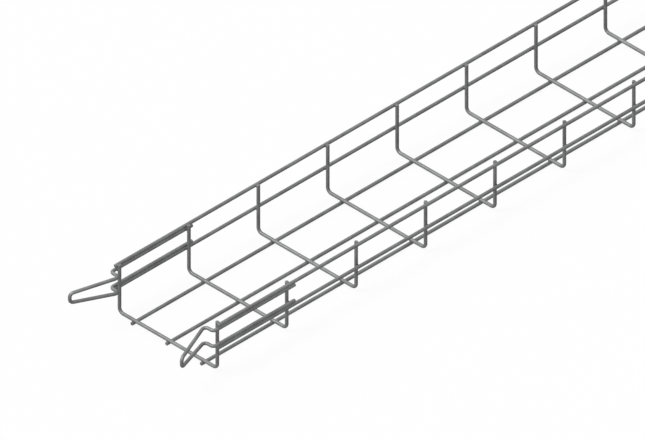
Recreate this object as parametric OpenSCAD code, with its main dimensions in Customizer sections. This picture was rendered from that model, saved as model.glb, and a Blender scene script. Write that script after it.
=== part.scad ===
// Welded wire cable basket: a U-shaped tray for carrying cables, with a spring loop on
// each side of one end that clicks onto the next length of tray.
// Every wire is cut and bent from one size of round steel wire and is resistance-welded
// where it crosses another. X runs across the tray, Y along it and Z up. The origin is
// on the ground, at the middle of the overall length.

/* [Wire] */
// Diameter of every wire
wire_d = 3.9; // [3:0.1:4.8]
// Depth that a weld sinks two crossing wires into each other
weld_set = 0.3; // [0.1:0.1:0.4]

/* [Tray] */
// Width over the side wires
tray_w = 152; // [140:1:320]
// Height from the ground to the cut tips of the cross wires
tray_h = 64; // [56:1:110]
// Distance between two cross wires
cross_pitch = 100; // [60:5:120]
// Number of cross wires
cross_count = 31; // [3:1:31]
// Distance from a middle side wire up to the top side wire
side_pitch = 28.3; // [26:0.1:36]
// Distance between two floor wires
floor_pitch = 50; // [30:1:52]
// Length of a lengthwise wire past the end cross wire
overhang = 3; // [2:0.5:20]
// Radius of a cross wire's centre line where its floor turns up into its sides
corner_r = 8; // [4:0.5:12]

/* [Coupling loops] */
// Length of a loop's leg past the second cross wire
leg_past = 8; // [4:1:30]
// Gap between a loop's leg and the side wire beside it
leg_gap = 0.5; // [0.1:0.1:1]
// Distance from the first cross wire out to the step where a loop turns in
step_out = 9; // [7:0.5:15]
// Distance that the step takes a loop in from the side
step_in = 13.2; // [11:0.1:16]
// Distance that a loop reaches past its step
nose_reach = 52.5; // [40:0.5:80]
// Distance that the nose lies outside the inner end of the step
nose_flare = 19.8; // [5:0.1:25]
// Height between the two runs of the wire where they turn round the nose
nose_h = 11.2; // [10:0.1:14]
// Radius of the centre line at the two bends of the step
step_r = 4; // [3:0.1:4.5]
// Radius of the centre line at the two bends of the nose
nose_r = 4.6; // [3:0.1:4.8]

/* [Hidden] */
wire_r = wire_d / 2;
weld_pitch = wire_d - weld_set;       // from centre line to centre line at a weld
side_x = tray_w / 2 - wire_r;         // side wires and the legs of the loops
upright_x = side_x - weld_pitch;      // uprights of the cross wires
floor_z = wire_r + weld_pitch;        // floor run of the cross wires
top_z = tray_h - wire_r;              // top side wires
middle_z = top_z - side_pitch;        // middle side wires

// A ball this much larger than the wire closes the joint between a straight and a bend.
joint_skin = 0.02;

crossed_l = (cross_count - 1) * cross_pitch;
long_l = crossed_l + 2 * overhang;
loop_reach = step_out + nose_reach + wire_r + joint_skin;
first_y = (loop_reach - overhang - crossed_l) / 2;   // first cross wire

loop_high_z = top_z - wire_d - leg_gap;
loop_low_z = middle_z + wire_d + leg_gap;
loop_middle_z = (loop_high_z + loop_low_z) / 2;

$fn = 48;

function two_digits(n) = str(n < 10 ? "0" : "", n);
function cross_name(i) = str("cross_wire_", two_digits(i + 1));

CROSS_NAMES = [for (i = [0:cross_count - 1]) cross_name(i)];
FLOOR_NAMES = ["floor_wire_left", "floor_wire_middle", "floor_wire_right"];
TOP_NAMES = ["top_side_wire_left", "top_side_wire_right"];
MIDDLE_NAMES = ["middle_side_wire_left", "middle_side_wire_right"];
LOOP_NAMES = ["coupling_loop_left", "coupling_loop_right"];

function unit(v) = v / norm(v);
function ahead(points, i) = unit(points[i + 1] - points[i]);

// Axes of the bend at corner i of a centre line: the side that the wire bends towards,
// the line that it bends about and the way that it arrives.
function bend_axes(points, i) =
    let (arrives = ahead(points, i - 1),
         about = unit(cross(arrives, ahead(points, i))))
    [cross(about, arrives), about, arrives];

function bend_angle(points, i) =
    let (a = ahead(points, i - 1), b = ahead(points, i))
    atan2(norm(cross(a, b)), a * b);

// Length of straight wire that the bend at corner i takes up on each side of it.
function bend_take(points, radii, i) =
    i == 0 || i == len(points) - 1 ? 0 : radii[i - 1] * tan(bend_angle(points, i) / 2);

// Turn of the wire in the bender, from the plane of bend i - 1 to the plane of bend i.
function bend_turn(points, i) =
    i == 1 ? 0 :
    let (last = bend_axes(points, i - 1), next = bend_axes(points, i))
    atan2(next[2] * cross(last[1], next[1]), last[1] * next[1]);

// A bend from the Z direction towards +X, starting at the origin.
module bend(r, angle) {
    translate([r, 0, 0])
        rotate([90, 0, 180])
            rotate_extrude(angle = angle)
                translate([r, 0])
                    circle(r = wire_r);
}

module joint() {
    sphere(r = wire_r + joint_skin);
}

// The wire from corner i on, fed along Z and turned and bent at each corner.
module wire_from(points, radii, i) {
    takes = bend_take(points, radii, i) + bend_take(points, radii, i + 1);
    feed = norm(points[i + 1] - points[i]) - takes;
    cylinder(r = wire_r, h = feed);
    if (i + 2 < len(points))
        translate([0, 0, feed])
            rotate([0, 0, bend_turn(points, i + 1)])
                bent_on(points, radii, i + 1);
}

module bent_on(points, radii, i) {
    r = radii[i - 1];
    angle = bend_angle(points, i);
    joint();
    bend(r, angle);
    translate([r, 0, 0])
        rotate([0, angle, 0])
            translate([-r, 0, 0]) {
                joint();
                wire_from(points, radii, i);
            }
}

// A wire along a centre line, bent to one of the radii at each inner corner.
module bent_wire(points, radii) {
    axes = bend_axes(points, 1);
    multmatrix([for (k = [0:2]) [axes[0][k], axes[1][k], axes[2][k], points[0][k]]])
        wire_from(points, radii, 0);
}

// A cross wire: one U that makes a strip of the floor and both sides.
module cross_wire(i) {
    upright_l = tray_h - floor_z - corner_r;
    color("silver")
        translate([0, first_y + i * cross_pitch, 0]) {
            translate([corner_r - upright_x, 0, floor_z])
                rotate([0, 90, 0])
                    cylinder(r = wire_r, h = 2 * (upright_x - corner_r));
            for (hand = [0, 1])
                mirror([hand, 0, 0])
                    translate([upright_x, 0, floor_z + corner_r]) {
                        cylinder(r = wire_r, h = upright_l);
                        rotate([0, 180, 0])
                            bend(corner_r, 90);
                    }
        }
}

// A lengthwise wire, straight from end to end.
module long_wire(x, z) {
    color("silver")
        translate([x, first_y - overhang, z])
            rotate([-90, 0, 0])
                cylinder(r = wire_r, h = long_l);
}

// A coupling loop: a hairpin whose two legs are welded outside the first two cross wires.
// Past the tray it steps inwards and flares out again to its nose, so that the last
// cross wire of the next tray snaps in behind the step.
module coupling_loop(hand) {
    step_y = first_y - step_out;
    leg_end_y = first_y + cross_pitch + leg_past;
    step_x = side_x - step_in;
    half = [
        [side_x, leg_end_y, loop_high_z],
        [side_x, step_y, loop_high_z],
        [step_x, step_y, loop_high_z],
        [step_x + nose_flare, step_y - nose_reach, loop_middle_z + nose_h / 2]
    ];
    both = concat(half, [for (i = [1:len(half)])
        let (p = half[len(half) - i])
        [p[0], p[1], 2 * loop_middle_z - p[2]]
    ]);
    radii = [step_r, step_r, nose_r, nose_r, step_r, step_r];
    color("silver")
        bent_wire([for (p = both) [hand * p[0], p[1], p[2]]], radii);
}

for (i = [0:cross_count - 1])
    cross_wire(i);
for (i = [0:2])
    long_wire((i - 1) * floor_pitch, wire_r);
for (i = [0, 1])
    long_wire((2 * i - 1) * side_x, top_z);
for (i = [0, 1])
    long_wire((2 * i - 1) * side_x, middle_z);
for (i = [0, 1])
    coupling_loop(2 * i - 1);
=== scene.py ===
"""A welded wire cable basket: a U-shaped tray of round zinc-plated steel wire, 3 m long,
with a spring loop on each side of one end that clicks onto the next length of tray."""

import math
import random

import bmesh
import bpy
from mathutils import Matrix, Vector


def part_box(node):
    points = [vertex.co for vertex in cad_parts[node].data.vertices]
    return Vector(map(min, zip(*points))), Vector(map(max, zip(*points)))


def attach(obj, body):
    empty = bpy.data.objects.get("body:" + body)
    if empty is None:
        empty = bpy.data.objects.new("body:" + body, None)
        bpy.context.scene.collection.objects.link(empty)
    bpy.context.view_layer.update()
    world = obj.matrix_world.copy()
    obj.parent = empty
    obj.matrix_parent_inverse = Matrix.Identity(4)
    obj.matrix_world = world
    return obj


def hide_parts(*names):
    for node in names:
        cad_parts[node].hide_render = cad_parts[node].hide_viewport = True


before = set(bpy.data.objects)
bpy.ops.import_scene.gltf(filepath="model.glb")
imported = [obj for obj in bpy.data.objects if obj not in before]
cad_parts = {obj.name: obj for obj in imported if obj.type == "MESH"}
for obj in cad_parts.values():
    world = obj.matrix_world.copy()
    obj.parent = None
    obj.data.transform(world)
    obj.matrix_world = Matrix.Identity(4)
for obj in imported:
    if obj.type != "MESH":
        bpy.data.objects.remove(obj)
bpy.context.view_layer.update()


# ---------------------------------------------------------------------------------------
# Floor wires
# Three straight lengths of hard-drawn steel wire that the tray rests on. They come off a
# coil through straightening rolls, are sheared to length, and lie under the cross wires
# that are welded onto them. The zinc goes on when the whole tray is welded.

WIRE_SIDES = 24
BEND_STEPS = 12
BURR_ROUND = 0.0003        # how far the zinc rounds the rim of a sheared end
SHEAR_LEAN = 0.05          # slope of a sheared face, from the gap between the blades

ZINC_METALLIC = 0.35       # low, because the oxide skin on matt zinc scatters most of the light
ZINC_EDGE = "#808080"      # a grey tint, so that the rim of a wire doesn't shine white
ZINC_ROUGHNESS = 0.50
ZINC_DULL = "#7f7f80"
ZINC_BRIGHT = "#8d8e8e"
SHEAR_DULL = "#727273"
SHEAR_BRIGHT = "#8a8a8a"
SHEAR_ROUGHNESS = 0.60
CLOUD_SIZE = 0.014         # patches where the plating bath left the zinc a shade duller
CLOUD_DULL_END = 0.35      # noise value at which a patch is as dull as it gets
CLOUD_BRIGHT_END = 0.65    # and at which it is as bright
SATIN_SPREAD = 0.06        # by which the dull patches are rougher and the bright ones smoother
DIE_LINE_WIDTH = 0.00035   # lines that the drawing die leaves on the wire, made coarser to show
DIE_LINE_LENGTH = 0.060
DIE_LINE_DEPTH = 0.00002
CRYSTAL_SIZE = 0.0004      # zinc crystals are finer than this, and drawn coarser to show
CRYSTAL_DEPTH = 0.00001
SHEAR_TEAR_SIZE = 0.0005
SHEAR_TEAR_DEPTH = 0.00008
DRAWN_MAP = "drawn"        # a wire's map: metres round the wire, metres along it


def linear(hex_colour):
    """The linear colour of an sRGB hex value."""
    parts = [int(hex_colour[i:i + 2], 16) / 255 for i in (1, 3, 5)]
    return [p / 12.92 if p <= 0.04045 else ((p + 0.055) / 1.055) ** 2.4 for p in parts] + [1.0]


def new_material(name):
    """A material with an empty node tree."""
    material = bpy.data.materials.new(name)
    material.use_nodes = True
    material.node_tree.nodes.clear()
    return material


def add_node(material, kind, settings=None, links=None):
    """Adds a node. Settings are inputs or properties, and links are (node, output) pairs."""
    tree = material.node_tree
    node = tree.nodes.new(kind)
    for name, value in (settings or {}).items():
        if name in node.inputs:
            node.inputs[name].default_value = value
        else:
            setattr(node, name, value)
    for name, (source, output) in (links or {}).items():
        tree.links.new(source.outputs[output], node.inputs[name])
    return node


def finish_zinc(material, dull, bright, roughness, relief):
    """Matt electroplated zinc: a soft mid grey that gives a broad satin streak where the
    light falls along the wire, with faint clouds where the plating took a little duller."""
    place = add_node(material, "ShaderNodeTexCoord")
    clouds = add_node(
        material, "ShaderNodeTexNoise",
        {"Scale": 1 / CLOUD_SIZE, "Detail": 3.0, "Roughness": 0.6},
        {"Vector": (place, "Object")},
    )
    tone = add_node(material, "ShaderNodeValToRGB", {}, {"Fac": (clouds, "Fac")})
    tone.color_ramp.elements[0].position = CLOUD_DULL_END
    tone.color_ramp.elements[0].color = linear(dull)
    tone.color_ramp.elements[1].position = CLOUD_BRIGHT_END
    tone.color_ramp.elements[1].color = linear(bright)
    satin = add_node(
        material, "ShaderNodeMapRange",
        {
            "From Min": CLOUD_DULL_END, "From Max": CLOUD_BRIGHT_END,
            "To Min": roughness + SATIN_SPREAD, "To Max": roughness - SATIN_SPREAD,
        },
        {"Value": (clouds, "Fac")},
    )
    metal = add_node(
        material, "ShaderNodeBsdfPrincipled",
        {"Metallic": ZINC_METALLIC, "Specular Tint": linear(ZINC_EDGE)},
        {"Base Color": (tone, "Color"), "Roughness": (satin, "Result"), "Normal": relief},
    )
    add_node(material, "ShaderNodeOutputMaterial", {}, {"Surface": (metal, "BSDF")})


def zinc_on_drawn_wire():
    """The long faces of every wire. Faint die lines run along them under the zinc."""
    material = new_material("zinc_plated_drawn_steel_wire")
    drawn = add_node(material, "ShaderNodeUVMap", {"uv_map": DRAWN_MAP})
    stretched = add_node(
        material, "ShaderNodeMapping", {"Scale": (1 / DIE_LINE_WIDTH, 1 / DIE_LINE_LENGTH, 1)},
        {"Vector": (drawn, "UV")},
    )
    die_lines = add_node(
        material, "ShaderNodeTexNoise", {"Scale": 1.0, "Detail": 2.0},
        {"Vector": (stretched, "Vector")},
    )
    lined = add_node(
        material, "ShaderNodeBump", {"Strength": 1.0, "Distance": DIE_LINE_DEPTH},
        {"Height": (die_lines, "Fac")},
    )
    place = add_node(material, "ShaderNodeTexCoord")
    crystals = add_node(
        material, "ShaderNodeTexNoise", {"Scale": 1 / CRYSTAL_SIZE, "Detail": 1.0},
        {"Vector": (place, "Object")},
    )
    relief = add_node(
        material, "ShaderNodeBump", {"Strength": 1.0, "Distance": CRYSTAL_DEPTH},
        {"Height": (crystals, "Fac"), "Normal": (lined, "Normal")},
    )
    finish_zinc(material, ZINC_DULL, ZINC_BRIGHT, ZINC_ROUGHNESS, (relief, "Normal"))
    return material


def zinc_on_sheared_end():
    """The cut ends. The shear tears the steel, so the zinc over it is rougher and darker."""
    material = new_material("zinc_plated_sheared_steel")
    place = add_node(material, "ShaderNodeTexCoord")
    tears = add_node(
        material, "ShaderNodeTexNoise", {"Scale": 1 / SHEAR_TEAR_SIZE, "Detail": 2.0},
        {"Vector": (place, "Object")},
    )
    relief = add_node(
        material, "ShaderNodeBump", {"Strength": 1.0, "Distance": SHEAR_TEAR_DEPTH},
        {"Height": (tears, "Fac")},
    )
    finish_zinc(material, SHEAR_DULL, SHEAR_BRIGHT, SHEAR_ROUGHNESS, (relief, "Normal"))
    return material


wire_zinc = zinc_on_drawn_wire()
end_zinc = zinc_on_sheared_end()


def centre_line(corners, radii):
    """Points along a wire and its direction at each, bent to a radius at each inner corner."""
    line = [(corners[0], (corners[1] - corners[0]).normalized())]
    for before, corner, after, radius in zip(corners, corners[1:], corners[2:], radii):
        into = (corner - before).normalized()
        out = (after - corner).normalized()
        angle = into.angle(out)
        towards = (out - into * into.dot(out)).normalized()
        centre = corner - into * radius * math.tan(angle / 2) + towards * radius
        for step in range(BEND_STEPS + 1):
            turn = angle * step / BEND_STEPS
            spoke = into * math.sin(turn) - towards * math.cos(turn)
            line.append((centre + spoke * radius, into * math.cos(turn) + towards * math.sin(turn)))
    line.append((corners[-1], (corners[-1] - corners[-2]).normalized()))
    return line


def wire_mesh(name, line, radius):
    """A round wire swept along a centre line, with a sheared and slightly burred face at
    each end, and a map that unrolls it."""
    (first, start_way), (last, end_way) = line[0], line[-1]
    stations = [(first, start_way, radius - BURR_ROUND, True)]
    stations.append((first + start_way * BURR_ROUND, start_way, radius, True))
    stations += [(point, way, radius, False) for point, way in line[1:-1]]
    stations.append((last - end_way * BURR_ROUND, end_way, radius, True))
    stations.append((last, end_way, radius - BURR_ROUND, True))

    mesh = bmesh.new()
    drawn = mesh.loops.layers.uv.new(DRAWN_MAP)
    around = 2 * math.pi * radius
    across = start_way.orthogonal().normalized()
    rings = []
    lengths = []
    length = 0.0
    for i, (point, way, ring_radius, sheared) in enumerate(stations):
        length += (point - stations[max(i - 1, 0)][0]).length
        lengths.append(length)
        across = (across - way * across.dot(way)).normalized()
        up = way.cross(across)
        ring = []
        for side in range(WIRE_SIDES):
            turn = 2 * math.pi * side / WIRE_SIDES
            spoke = (across * math.cos(turn) + up * math.sin(turn)) * ring_radius
            lean = way * spoke.dot(across) * SHEAR_LEAN if sheared else Vector()
            ring.append(mesh.verts.new(point + spoke + lean))
        rings.append(ring)
    for i, (ring, after) in enumerate(zip(rings, rings[1:])):
        for side in range(WIRE_SIDES):
            turned = (side + 1) % WIRE_SIDES
            face = mesh.faces.new((ring[side], ring[turned], after[turned], after[side]))
            face.smooth = True
            left = around * side / WIRE_SIDES
            right = around * (side + 1) / WIRE_SIDES
            near = lengths[i]
            far = lengths[i + 1]
            unrolled = ((left, near), (right, near), (right, far), (left, far))
            for loop, place in zip(face.loops, unrolled):
                loop[drawn].uv = place
    for cut in (list(reversed(rings[0])), rings[-1]):
        mesh.faces.new(cut).material_index = 1
    for ring in (rings[0], rings[1], rings[-2], rings[-1]):
        for a, b in zip(ring, ring[1:] + ring[:1]):
            mesh.edges.get((a, b)).smooth = False
    mesh.normal_update()
    data = bpy.data.meshes.new(name)
    mesh.to_mesh(data)
    mesh.free()
    piece = bpy.data.objects.new(name, data)
    bpy.context.scene.collection.objects.link(piece)
    return piece


def draw_wire(node, corners, radii=()):
    """Draws a wire along its corners, in place of the coarser one that the frame holds."""
    piece = wire_mesh(node + "_drawn", centre_line(corners, radii), wire_radius)
    piece.data.materials.append(wire_zinc)
    piece.data.materials.append(end_zinc)
    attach(piece, "root")
    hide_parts(node)


def middle(node):
    """The middle of a node's box in the frame."""
    low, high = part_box(node)
    return (low + high) / 2


def straight_wire(node):
    """Draws a lengthwise wire through its node's box."""
    low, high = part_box(node)
    x, _, z = middle(node)
    draw_wire(node, [Vector((x, low.y, z)), Vector((x, high.y, z))])


floor_low, floor_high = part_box("floor_wire_middle")
wire_radius = (floor_high.x - floor_low.x) / 2
FLOOR_WIRES = ("floor_wire_left", "floor_wire_middle", "floor_wire_right")

for node in FLOOR_WIRES:
    straight_wire(node)


# ---------------------------------------------------------------------------------------
# Side wires
# Four more lengths of the same wire, two on the outside of each side. The top ones run
# level with the cut tips of the cross wires and make the rim of the tray.

SIDE_WIRES = (
    "top_side_wire_left", "top_side_wire_right",
    "middle_side_wire_left", "middle_side_wire_right",
)

for node in SIDE_WIRES:
    straight_wire(node)


# ---------------------------------------------------------------------------------------
# Cross wires
# Each is a short length of the same wire. They are welded across the flat mat of long
# wires, which is then folded on a press brake, so each one ends up as a U.

CORNER_RADIUS = 0.0055     # of the centre line, and tighter than in the frame's own solids

cross_wires = sorted(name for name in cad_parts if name.startswith("cross_wire_"))

for node in cross_wires:
    low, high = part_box(node)
    y = middle(node).y
    left = low.x + wire_radius
    right = high.x - wire_radius
    bottom = low.z + wire_radius
    corners = [
        Vector((left, y, high.z)), Vector((left, y, bottom)),
        Vector((right, y, bottom)), Vector((right, y, high.z)),
    ]
    draw_wire(node, corners, (CORNER_RADIUS, CORNER_RADIUS))


# ---------------------------------------------------------------------------------------
# Coupling loops
# A hairpin of the same wire on each side of one end, bent round pins and welded by its two
# legs to the first two cross wires. It steps in past the tray and flares out to its nose,
# and springs so that the last cross wire of the next tray clicks in behind the step.

STEP_OUT = 0.009           # from the first cross wire to the step
STEP_IN = 0.0132
STEP_RADIUS = 0.004
NOSE_FLARE = 0.0198        # by which the nose lies outside the inner end of the step
NOSE_HEIGHT = 0.0112       # between the two runs where they turn round the nose
NOSE_RADIUS = 0.0046
JOINT_SKIN = 0.00002       # by which the frame's joints stand out from the wire

loop_low, loop_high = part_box("coupling_loop_right")
loop_z = (loop_low.z + loop_high.z) / 2
leg_x = middle("top_side_wire_right").x
leg_rise = (loop_high.z - loop_low.z) / 2 - wire_radius - JOINT_SKIN
step_x = leg_x - STEP_IN
step_y = middle(cross_wires[0]).y - STEP_OUT
nose_y = loop_low.y + wire_radius + JOINT_SKIN

upper_half = [
    (leg_x, loop_high.y, leg_rise),
    (leg_x, step_y, leg_rise),
    (step_x, step_y, leg_rise),
    (step_x + NOSE_FLARE, nose_y, NOSE_HEIGHT / 2),
]
lower_half = [(x, y, -rise) for x, y, rise in reversed(upper_half)]
LOOP_RADII = (STEP_RADIUS, STEP_RADIUS, NOSE_RADIUS, NOSE_RADIUS, STEP_RADIUS, STEP_RADIUS)

for node, hand in (("coupling_loop_left", -1), ("coupling_loop_right", 1)):
    corners = [Vector((hand * x, y, loop_z + rise)) for x, y, rise in upper_half + lower_half]
    draw_wire(node, corners, LOOP_RADII)


# ---------------------------------------------------------------------------------------
# Welds
# Two wires that cross are clamped between electrodes and fused by a current. The hot steel
# is squeezed out into a small saddle-shaped collar in the corners between them, and the
# zinc then covers it. There is one at every crossing.

WELD_SIDES = 20
WELD_CORE = 0.0009         # inner radius of the collar, inside the fused wires
WELD_REACH = 0.00175
WELD_CORNER_REACH = 0.0004 # how much further it reaches into the four corners
WELD_RAGGED = 0.00012
WELD_ROUND = 0.00022       # by which its rim is rounded
WELD_SHOULDER = 0.4        # the share of its height over which the rim stands straight
WELD_SINK = 0.00008        # by which its faces run into the wires
WELD_DULL = "#6e6e6f"
WELD_BRIGHT = "#848484"
WELD_ROUGHNESS = 0.62
WELD_LUMP_SIZE = 0.0006
WELD_LUMP_DEPTH = 0.00006
WELD_SEED = 4


def zinc_over_weld():
    """The weld collars. Spatter and scale leave the steel lumpy and the zinc there dull."""
    material = new_material("zinc_plated_weld_metal")
    place = add_node(material, "ShaderNodeTexCoord")
    lumps = add_node(
        material, "ShaderNodeTexNoise", {"Scale": 1 / WELD_LUMP_SIZE, "Detail": 2.0},
        {"Vector": (place, "Object")},
    )
    relief = add_node(
        material, "ShaderNodeBump", {"Strength": 1.0, "Distance": WELD_LUMP_DEPTH},
        {"Height": (lumps, "Fac")},
    )
    finish_zinc(material, WELD_DULL, WELD_BRIGHT, WELD_ROUGHNESS, (relief, "Normal"))
    return material


weld_zinc = zinc_over_weld()
ragged = random.Random(WELD_SEED)


def add_collar(mesh, first, first_way, second, second_way):
    """Adds the collar between two crossing wires, given a point on each and its direction."""
    centre = (first + second) / 2
    out = (second - first).normalized()
    half_pitch = (second - first).length / 2
    rings = []
    for side in range(WELD_SIDES):
        turn = 2 * math.pi * side / WELD_SIDES
        reach = WELD_REACH + WELD_CORNER_REACH * math.sin(2 * turn) ** 2
        reach += ragged.uniform(-WELD_RAGGED, WELD_RAGGED)
        section = (
            (WELD_CORE, 1), (reach - WELD_ROUND, 1), (reach, WELD_SHOULDER),
            (reach, -WELD_SHOULDER), (reach - WELD_ROUND, -1), (WELD_CORE, -1),
        )
        ring = []
        for radius, share in section:
            along_second = radius * math.cos(turn)
            along_first = radius * math.sin(turn)
            top = half_pitch - math.sqrt(wire_radius ** 2 - along_first ** 2) + WELD_SINK
            base = math.sqrt(wire_radius ** 2 - along_second ** 2) - half_pitch - WELD_SINK
            rise = (top + base) / 2 + share * (top - base) / 2
            place = second_way * along_second + first_way * along_first + out * rise
            ring.append(mesh.verts.new(centre + place))
        rings.append(ring)
    for ring, after in zip(rings, rings[1:] + rings[:1]):
        for k in range(len(ring)):
            n = (k + 1) % len(ring)
            mesh.faces.new((ring[k], ring[n], after[n], after[k])).smooth = True


def weld_piece(name, crossings):
    """One piece of all the collars of a group of crossings."""
    mesh = bmesh.new()
    for crossing in crossings:
        add_collar(mesh, *crossing)
    bmesh.ops.recalc_face_normals(mesh, faces=mesh.faces)
    data = bpy.data.meshes.new(name)
    mesh.to_mesh(data)
    mesh.free()
    data.materials.append(weld_zinc)
    piece = bpy.data.objects.new(name, data)
    bpy.context.scene.collection.objects.link(piece)
    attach(piece, "root")


ACROSS = Vector((1, 0, 0))
ALONG = Vector((0, 1, 0))
UP = Vector((0, 0, 1))

first_low, first_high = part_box(cross_wires[0])
run_z = first_low.z + wire_radius
upright_x = first_high.x - wire_radius

floor_crossings = []
side_crossings = []
for cross_node in cross_wires:
    y = middle(cross_node).y
    for node in FLOOR_WIRES:
        x, _, z = middle(node)
        floor_crossings.append((Vector((x, y, z)), ALONG, Vector((x, y, run_z)), ACROSS))
    for node in SIDE_WIRES:
        x, _, z = middle(node)
        upright = Vector((math.copysign(upright_x, x), y, z))
        side_crossings.append((upright, UP, Vector((x, y, z)), ALONG))

loop_crossings = []
for cross_node in cross_wires[:2]:
    y = middle(cross_node).y
    for hand in (-1, 1):
        for z in (loop_z - leg_rise, loop_z + leg_rise):
            upright = Vector((hand * upright_x, y, z))
            loop_crossings.append((upright, UP, Vector((hand * leg_x, y, z)), ALONG))

weld_piece("floor_welds", floor_crossings)
weld_piece("side_welds", side_crossings)
weld_piece("coupling_loop_welds", loop_crossings)


# ---------------------------------------------------------------------------------------
# Floor, light and camera
# A white floor that runs on into a white background, a soft lamp high up on the near left
# and a little light from all round. The camera looks down on the coupling end of the tray
# without perspective, equally along the width, the length and the height.

FLOOR_SIZE = 40
FLOOR_WHITE = "#fafafa"
FLOOR_BOUNCE = "#5a5a5a"   # how the floor looks to the undersides of the wires
SHADOW_SHARE = 0.22        # how much of the shadow shows on the floor
SKY_LIGHT = 0.22
LAMP_FROM = Vector((-0.20, -0.50, 0.84))
LAMP_SPREAD = math.radians(30)
KEY_LIGHT = 0.7            # the part of the lamp's light that casts shadows
WRAP_LIGHT = 2.3           # the part that wraps round the wires and casts none
VIEW_WIDTH = 0.65707
VIEW_DISTANCE = 4
VIEW_FROM = Vector((1, -1, 1)).normalized()
VIEW_ACROSS = -0.0422      # the point that the camera looks at, from the middle of the width
VIEW_ALONG = 0.2642        # and from the first cross wire


def seen_rays(material):
    """1 for a ray that shows the surface to the camera, straight or in a gloss or glass."""
    rays = add_node(material, "ShaderNodeLightPath")
    direct = add_node(
        material, "ShaderNodeMath", {"operation": "MAXIMUM"},
        {0: (rays, "Is Camera Ray"), 1: (rays, "Is Glossy Ray")},
    )
    return add_node(
        material, "ShaderNodeMath", {"operation": "MAXIMUM"},
        {0: (direct, "Value"), 1: (rays, "Is Transmission Ray")},
    )


# White paper. It shows as plain white with a faint shadow of the tray, and throws only a
# little light up at the undersides of the wires.
paper = new_material("white_paper_floor")
lit = add_node(paper, "ShaderNodeBsdfDiffuse", {"Color": linear(FLOOR_WHITE)})
glow = add_node(paper, "ShaderNodeEmission", {"Strength": 1.0})
shown = add_node(
    paper, "ShaderNodeMixShader", {"Fac": SHADOW_SHARE}, {1: (glow, "Emission"), 2: (lit, "BSDF")},
)
bounce = add_node(paper, "ShaderNodeBsdfDiffuse", {"Color": linear(FLOOR_BOUNCE)})
surface = add_node(
    paper, "ShaderNodeMixShader", {},
    {"Fac": (seen_rays(paper), "Value"), 1: (bounce, "BSDF"), 2: (shown, "Shader")},
)
add_node(paper, "ShaderNodeOutputMaterial", {}, {"Surface": (surface, "Shader")})

bpy.ops.mesh.primitive_plane_add(size=FLOOR_SIZE)
floor = bpy.context.object
floor.name = "floor"
floor.data.materials.append(paper)

# A white studio. Its walls show as plain white and give a little light from all round.
world = bpy.data.worlds.new("white_studio")
world.use_nodes = True
world.node_tree.nodes.clear()
bpy.context.scene.world = world
WALL_WHITE = linear("#ffffff")
all_round = add_node(world, "ShaderNodeBackground", {"Color": WALL_WHITE, "Strength": SKY_LIGHT})
backdrop = add_node(world, "ShaderNodeBackground", {"Color": WALL_WHITE, "Strength": 1.0})
studio = add_node(
    world, "ShaderNodeMixShader", {},
    {"Fac": (seen_rays(world), "Value"), 1: (all_round, "Background"), 2: (backdrop, "Background")},
)
add_node(world, "ShaderNodeOutputWorld", {}, {"Surface": (studio, "Shader")})

for name, light, casts_shadow in (("key_lamp", KEY_LIGHT, True), ("wrap_lamp", WRAP_LIGHT, False)):
    lamp_data = bpy.data.lights.new(name, "SUN")
    lamp_data.energy = light
    lamp_data.angle = LAMP_SPREAD
    lamp_data.use_shadow = casts_shadow
    lamp = bpy.data.objects.new(name, lamp_data)
    lamp.rotation_mode = "QUATERNION"
    lamp.rotation_quaternion = LAMP_FROM.to_track_quat("Z", "Y")
    bpy.context.scene.collection.objects.link(lamp)

camera_data = bpy.data.cameras.new("camera")
camera_data.type = "ORTHO"
camera_data.ortho_scale = VIEW_WIDTH
camera = bpy.data.objects.new("camera", camera_data)
looked_at = Vector((VIEW_ACROSS, middle(cross_wires[0]).y + VIEW_ALONG, wire_radius))
camera.location = looked_at + VIEW_FROM * VIEW_DISTANCE
camera.rotation_mode = "QUATERNION"
camera.rotation_quaternion = VIEW_FROM.to_track_quat("Z", "Y")
bpy.context.scene.collection.objects.link(camera)
bpy.context.scene.camera = camera
bpy.context.scene.view_settings.view_transform = "Standard"
